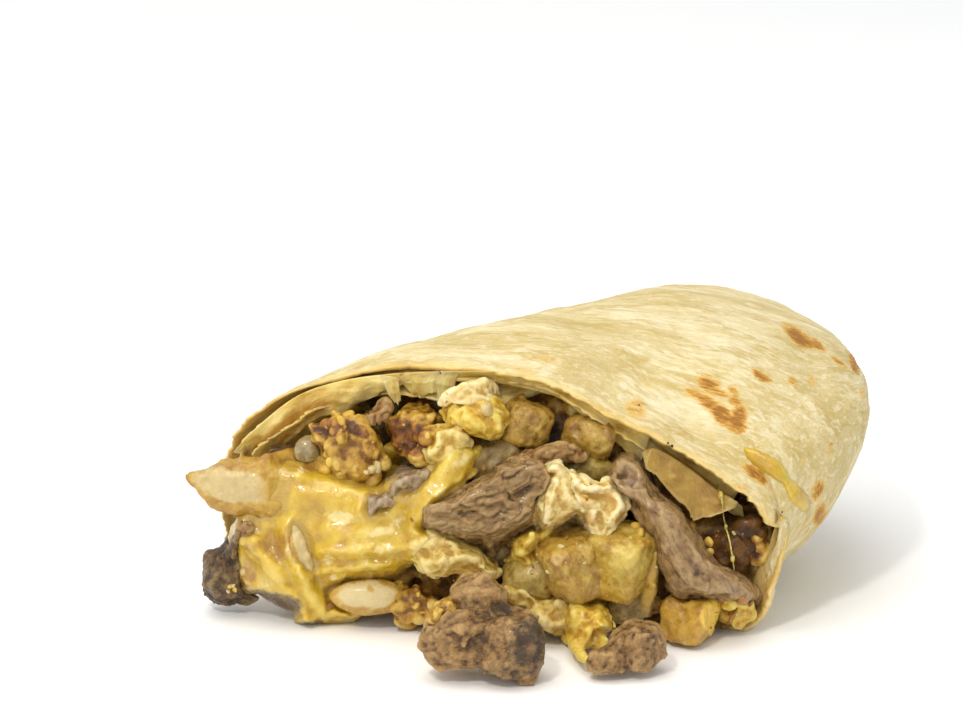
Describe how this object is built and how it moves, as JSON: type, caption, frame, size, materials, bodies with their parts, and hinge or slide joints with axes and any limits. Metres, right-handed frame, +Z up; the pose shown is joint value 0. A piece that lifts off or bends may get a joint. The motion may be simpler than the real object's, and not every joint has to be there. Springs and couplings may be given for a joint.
{
  "type": "burrito",
  "caption": "Half of a cut breakfast burrito on its side: a toasted flour tortilla rolled round potato, steak, egg and melted cheese that bulge out of the slanted cut.",
  "frame": {"origin": "bottom centre of the whole half, on the table", "axes": "+Z up; +X to the right along the cut, seen from in front of it; +Y away from the cut, towards the folded end"},
  "size_m": [0.1336, 0.1126, 0.0536],
  "materials": {
    "tortilla": "matte, cream with toasted brown spots",
    "filling": "moist, lumpy",
    "cheese": "melted, glossy",
    "steak": "seared, fibrous, moist",
    "potato": "fried, soft sheen",
    "hash_brown": "browned, crusty",
    "egg": "scrambled, moist",
    "onion": "cooked, translucent"
  },
  "bodies": {
    "root": {"tortilla_wrap": "tortilla", "filling": "filling", "melted_cheese": "cheese", "steak_chunk_front": "steak", "steak_chunk_right": "steak", "steak_strip": "steak", "steak_tongue": "steak", "egg_white_left": "egg", "egg_white_right": "egg", "steak_slab": "steak", "egg_yellow_small": "egg", "potato_big_right": "potato", "potato_big_left": "potato", "potato_cube_right": "potato", "potato_slab_right": "potato", "egg_orange_low": "egg", "egg_ragged_low": "egg", "potato_smooth": "potato", "egg_ragged_middle": "egg", "fry_wedge_left": "potato", "steak_nub_left": "steak", "potato_sliver_left": "potato", "potato_pale_front": "potato", "hash_crust_low": "hash_brown", "steak_upper_cheese": "steak", "steak_lower_cheese": "steak", "egg_yellow_top": "egg", "egg_white_top": "egg", "egg_column": "egg", "hash_left": "hash_brown", "onion_left": "onion", "steak_dark_left": "steak", "steak_bottom_left": "steak", "steak_curl_top": "steak", "hash_middle": "hash_brown", "potato_shaded": "potato", "potato_top_middle": "potato", "potato_top_right": "potato", "potato_shadow_right": "potato", "potato_inner_right": "potato", "hash_inner_right": "hash_brown", "egg_bits_right": "egg"}
  },
  "joints": []
}
